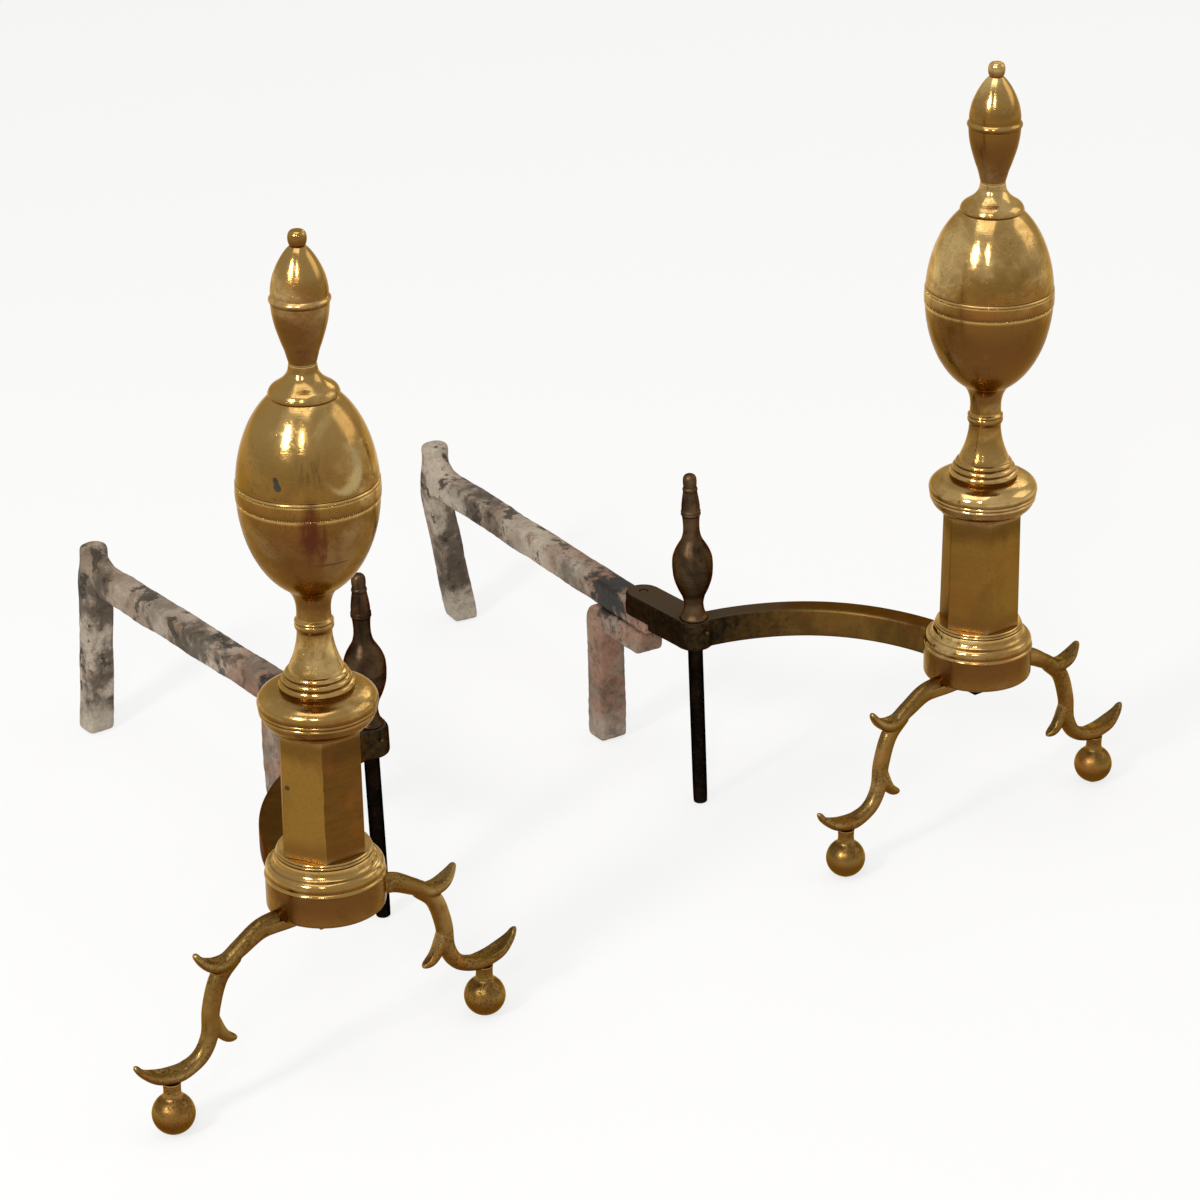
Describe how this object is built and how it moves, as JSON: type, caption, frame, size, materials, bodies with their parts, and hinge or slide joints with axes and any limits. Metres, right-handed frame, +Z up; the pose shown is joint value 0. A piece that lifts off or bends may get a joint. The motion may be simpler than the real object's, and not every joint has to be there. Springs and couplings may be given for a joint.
{
  "type": "andiron",
  "caption": "Mirrored pair of brass lemon-top andirons on spurred legs with ball feet; a curved arm with a log stop joins each column to a wrought-iron log bar.",
  "frame": {"origin": "on the floor in the middle of the pair's width and depth", "axes": "+X to the right seen from the front, along the line through both columns; +Y from the brass fronts back into the fireplace; +Z up"},
  "size_m": [0.828, 0.577, 0.5602],
  "materials": {
    "aged_brass": "polished, worn and lightly tarnished",
    "arm_brass": "dull brown patina",
    "smoked_brass": "black-brown from smoke, half gloss",
    "black_iron": "black-brown, oiled",
    "forged_iron": "ash grey scale with rust and soot"
  },
  "bodies": {
    "root": {"right_plinth_drum": "aged_brass", "right_shaft_collar": "aged_brass", "right_hex_shaft": "aged_brass", "right_capital": "aged_brass", "right_turned_neck": "aged_brass", "right_urn_lower": "aged_brass", "right_urn_upper": "aged_brass", "right_urn_cap": "aged_brass", "right_lemon_finial": "aged_brass", "right_clamp_plate": "black_iron", "right_tie_nut": "black_iron", "right_tie_rod": "black_iron", "right_outer_leg": "aged_brass", "right_outer_ball_foot": "aged_brass", "right_inner_leg": "aged_brass", "right_inner_ball_foot": "aged_brass", "right_curved_arm": "arm_brass", "right_log_stop": "smoked_brass", "right_stop_rod": "black_iron", "right_stop_pin": "black_iron", "right_billet_bar": "forged_iron", "right_front_leg": "forged_iron", "right_rear_leg": "forged_iron", "right_bar_rivet": "forged_iron", "left_plinth_drum": "aged_brass", "left_shaft_collar": "aged_brass", "left_hex_shaft": "aged_brass", "left_capital": "aged_brass", "left_turned_neck": "aged_brass", "left_urn_lower": "aged_brass", "left_urn_upper": "aged_brass", "left_urn_cap": "aged_brass", "left_lemon_finial": "aged_brass", "left_clamp_plate": "black_iron", "left_tie_nut": "black_iron", "left_tie_rod": "black_iron", "left_outer_leg": "aged_brass", "left_outer_ball_foot": "aged_brass", "left_inner_leg": "aged_brass", "left_inner_ball_foot": "aged_brass", "left_curved_arm": "arm_brass", "left_log_stop": "smoked_brass", "left_stop_rod": "black_iron", "left_stop_pin": "black_iron", "left_billet_bar": "forged_iron", "left_front_leg": "forged_iron", "left_rear_leg": "forged_iron", "left_bar_rivet": "forged_iron"}
  },
  "joints": []
}
